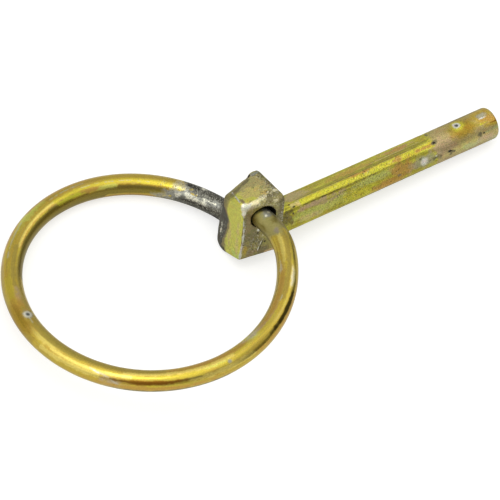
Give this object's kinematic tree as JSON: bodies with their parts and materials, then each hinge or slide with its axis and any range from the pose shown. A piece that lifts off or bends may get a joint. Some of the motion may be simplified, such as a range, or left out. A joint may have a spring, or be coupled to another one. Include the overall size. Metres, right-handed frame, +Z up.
{
  "type": "lynch pin",
  "caption": "Forged steel lynch pin with a block head, a part-flattened round shank and a sprung wire ring that swings over to lock it.",
  "frame": {"origin": "on the shank's axis, in the plane of the head's shoulder", "axes": "+X along the shank to its tip, +Z up the head's tall side, -Y out of the front face with the upper ring hole"},
  "size_m": [0.11, 0.0562, 0.0154],
  "materials": {
    "pin_zinc": "yellow zinc-plated forged steel, dull, pitted and stained olive and brown",
    "ring_zinc": "yellow zinc-plated spring wire, softly glossy, burnt grey near its ends"
  },
  "bodies": {
    "pin": {"pin": "pin_zinc"},
    "ring": {"ring": "ring_zinc"}
  },
  "joints": [
    {"name": "ring_swing", "type": "hinge", "parent": "pin", "child": "ring", "pos_m": [-0.0043, 0, 0.0029], "axis": [0, 1, 0], "range_deg": [-165, 181], "deforming": ["ring"]}
  ]
}
